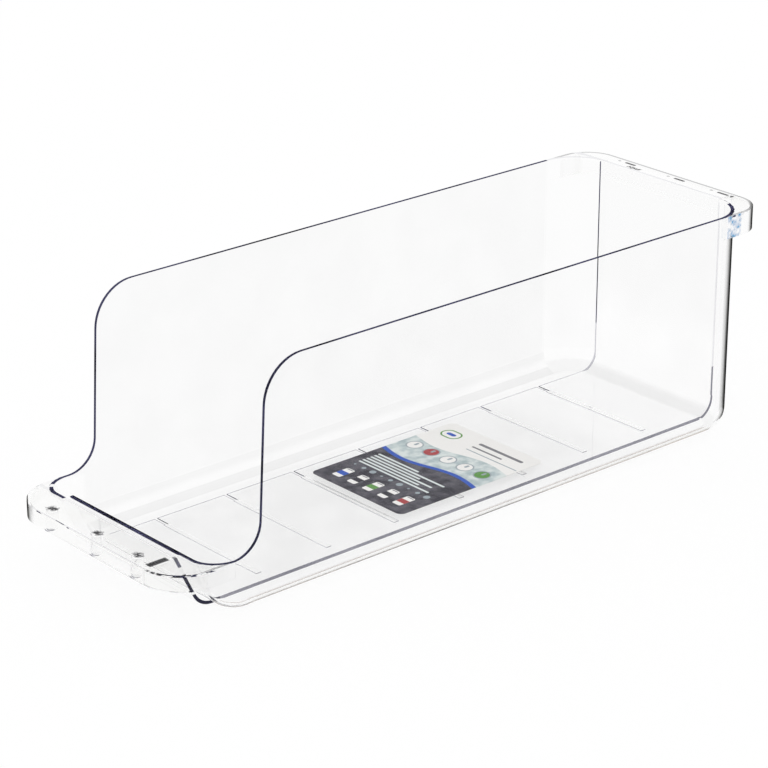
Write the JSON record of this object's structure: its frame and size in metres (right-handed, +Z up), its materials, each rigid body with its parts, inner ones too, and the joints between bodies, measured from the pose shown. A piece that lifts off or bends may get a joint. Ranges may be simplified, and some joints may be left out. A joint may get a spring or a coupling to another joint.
{
  "type": "fridge drink organizer",
  "caption": "Clear open-front bin for drinks on a refrigerator shelf: two trays telescope across the width, with a low leaning front, grip ledges and a printed floor label.",
  "frame": {"origin": "under the middle of the closed organizer, on the surface that it stands on", "axes": "+Z up, low front wall toward -Y, the right tray draws out along +X"},
  "size_m": [0.152, 0.454, 0.144],
  "materials": {
    "clear_plastic": "clear, high gloss",
    "printed_film": "satin print"
  },
  "bodies": {
    "left": {"left_tray": "clear_plastic"},
    "right": {"right_tray": "clear_plastic", "label": "printed_film"}
  },
  "joints": [
    {"name": "width_slide", "type": "slide", "parent": "left", "child": "right", "axis": [1, 0, 0], "range_m": [0, 0.075]}
  ]
}
